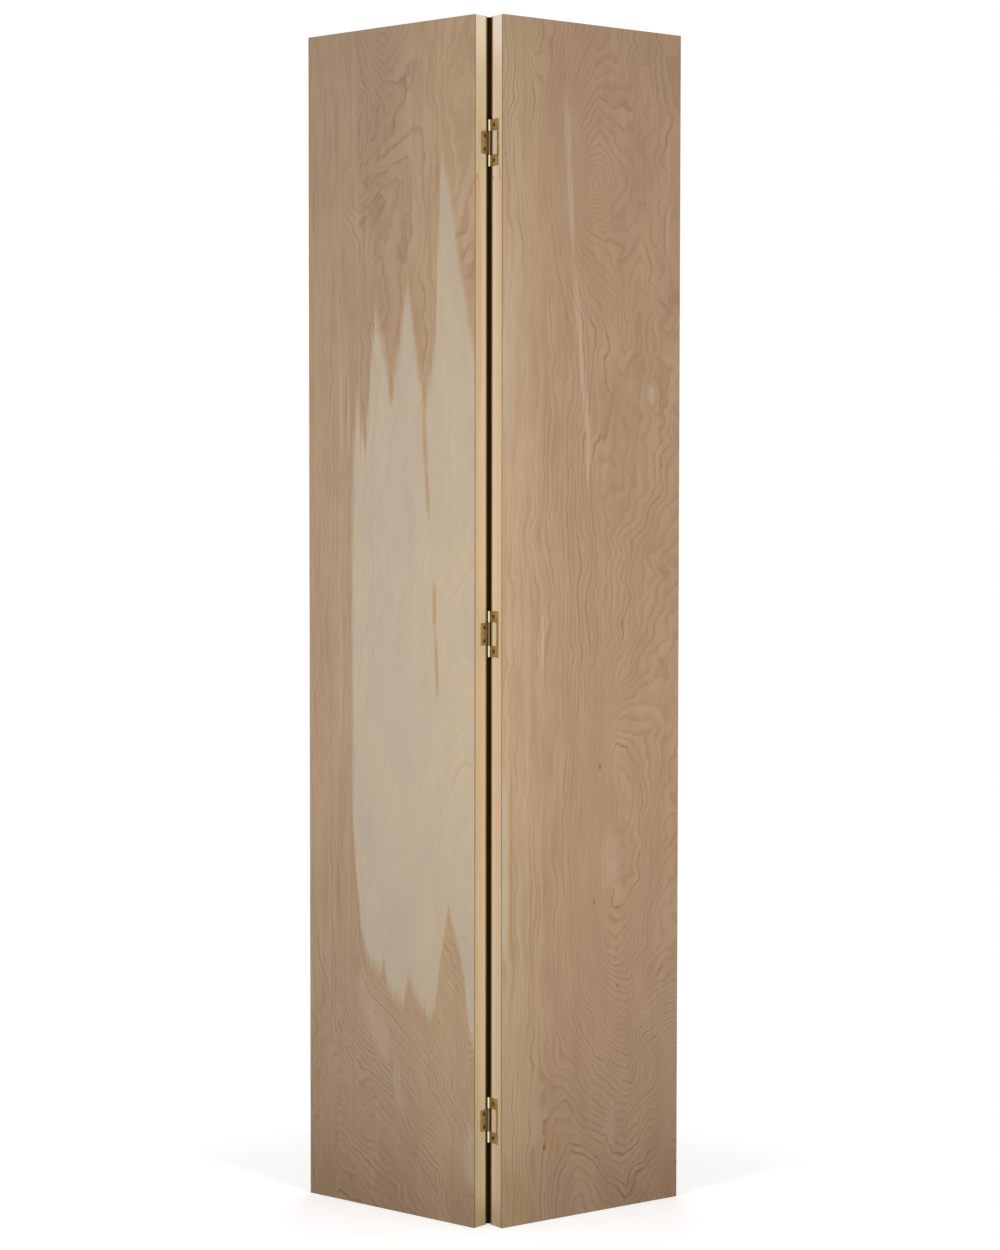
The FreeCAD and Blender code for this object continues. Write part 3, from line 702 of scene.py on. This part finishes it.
def floor_finish():
    """A pale floor that shows white, with the soft shadow of what stands on it, gone at its rim."""
    made = bpy.data.materials.new("pale_floor")
    start = bare_start(made)
    place = start.node("ShaderNodeTexCoord", {}, {}, "Object")
    pale = blend(0.5 + cloud(place, (0.4, 0.4, 0.4), 1), *FLOOR_GREYS)
    lit = start.node("ShaderNodeBsdfDiffuse", {}, {"Color": pale})
    dim = start.node("ShaderNodeBsdfDiffuse", {}, {"Color": FLOOR_BOUNCE})
    glow = start.node("ShaderNodeEmission", {}, {"Color": WHITE, "Strength": FLOOR_GLOW})
    white = start.node("ShaderNodeEmission", {}, {"Color": WHITE, "Strength": 1.0})
    shaded = start.node("ShaderNodeAddShader", {}, {0: lit, 1: glow})
    reach = start.node("ShaderNodeVectorMath", {"operation": "LENGTH"}, {0: place}, 1)
    rim = rise(reach, 0.35 * FLOOR_SIZE, 0.5 * FLOOR_SIZE)
    shown = start.node("ShaderNodeMixShader", {}, {0: rim, 1: shaded, 2: white})
    mixed = start.node("ShaderNodeMixShader", {}, {0: seen_directly(start), 1: dim, 2: shown})
    start.node("ShaderNodeOutputMaterial", {}, {"Surface": mixed})
    return made


def add_floor():
    """A round floor under the door."""
    bpy.ops.mesh.primitive_circle_add(vertices=FLOOR_CORNERS, radius=FLOOR_SIZE / 2, fill_type="NGON")
    floor = bpy.context.object
    floor.name = "floor"
    floor.data.materials.append(floor_finish())


def gap_shadow_finish():
    """A painted shadow: near black from the front and clear from behind."""
    made = bpy.data.materials.new("painted_gap_shadow")
    start = bare_start(made)
    behind = start.node("ShaderNodeNewGeometry", {}, {}, "Backfacing")
    black = start.node("ShaderNodeBsdfDiffuse", {}, {"Color": GAP_SHADOW_BLACK})
    clear = start.node("ShaderNodeBsdfTransparent", {}, {})
    mixed = start.node("ShaderNodeMixShader", {}, {0: behind, 1: black, 2: clear})
    start.node("ShaderNodeOutputMaterial", {}, {"Surface": mixed})
    return made


def add_gap_shadow_card():
    """A narrow card behind the joint, as tall as the door: a painted shadow that makes the gap between
    panels read dark.
    """
    height = DOOR_HEIGHT / MILLIMETRES
    bpy.ops.mesh.primitive_plane_add(size=1)
    card = bpy.context.object
    card.name = "gap_shadow_card"
    card.data.transform(Matrix.Translation((0, PIN_LINE.y + CARD_SETBACK, height / 2))
                        @ Matrix.Rotation(math.pi / 2, 4, "X")
                        @ Matrix.Diagonal((CARD_WIDTH, height, 1, 1)))
    card.data.materials.append(gap_shadow_finish())


# How strongly the white surroundings light the door, where 1 is how they show.
WORLD_LIGHT = 0.42
LAMPS = (
    # Name, place, aim, width and height in metres, watts.
    ("left_lamp", (-1.00, -1.42, 1.00), (-0.16, 0.0, 1.00), 0.3, 1.5, 14.3),
    ("right_lamp", (1.00, -1.42, 1.00), (0.16, 0.0, 1.00), 0.3, 1.5, 14.0),
    ("back_lamp", (0.0, 2.00, 1.15), (0.0, 0.0, 1.15), 0.8, 1.5, 12.0),
    ("top_lamp", (0.0, 0.05, 3.20), (0.0, 0.05, 0.0), 0.8, 0.8, 5.0),
)


def add_surroundings():
    """White all round, which lights the door less than it shows."""
    world = bpy.data.worlds.new("studio")
    bpy.context.scene.world = world
    start = bare_start(world)
    strength = WORLD_LIGHT + (1 - WORLD_LIGHT) * seen_directly(start)
    shown = start.node("ShaderNodeBackground", {}, {"Color": WHITE, "Strength": strength})
    start.node("ShaderNodeOutputWorld", {}, {"Surface": shown})


def add_lamps():
    """Soft lamps, which metal does not mirror."""
    for name, place, aim, width, height, watts in LAMPS:
        data = bpy.data.lights.new(name, "AREA")
        data.shape = "RECTANGLE"
        data.size = width
        data.size_y = height
        data.energy = watts
        lamp = bpy.data.objects.new(name, data)
        lamp.location = place
        lamp.rotation_euler = (Vector(aim) - Vector(place)).to_track_quat("-Z", "Y").to_euler()
        lamp.visible_glossy = False
        bpy.context.scene.collection.objects.link(lamp)


CAMERA_PLACE = Vector((0.185207, -4.748481, 1.217003))
CAMERA_AIM = Vector((-0.03584798, 0.9983246, -0.04541924))
CAMERA_ROLL = math.radians(0.062)
CAMERA_LENS = 80.792
CAMERA_SENSOR = 36.0
# How far off the camera still sees, in metres.
CAMERA_REACH = 100.0


def add_camera():
    """The camera stands in front of the joint, a little to its right and above the middle."""
    data = bpy.data.cameras.new("camera")
    data.lens = CAMERA_LENS
    data.sensor_width = CAMERA_SENSOR
    data.clip_end = CAMERA_REACH
    camera = bpy.data.objects.new("camera", data)
    aimed = CAMERA_AIM.to_track_quat("-Z", "Y").to_matrix().to_4x4()
    camera.matrix_world = Matrix.Translation(CAMERA_PLACE) @ aimed @ Matrix.Rotation(CAMERA_ROLL, 4, "Z")
    bpy.context.scene.collection.objects.link(camera)
    bpy.context.scene.camera = camera


bpy.ops.object.select_all(action="DESELECT")
add_camera()
dress_panel("left", left_figure, back_figure(middle=190, drop=900, seed=15), seed=1)
dress_panel("right", right_figure, back_figure(middle=160, drop=1230, seed=52), seed=9)
dress_hinges()
dress_staples()
add_floor()
add_gap_shadow_card()
add_surroundings()
add_lamps()
bpy.context.scene.view_settings.view_transform = "Standard"
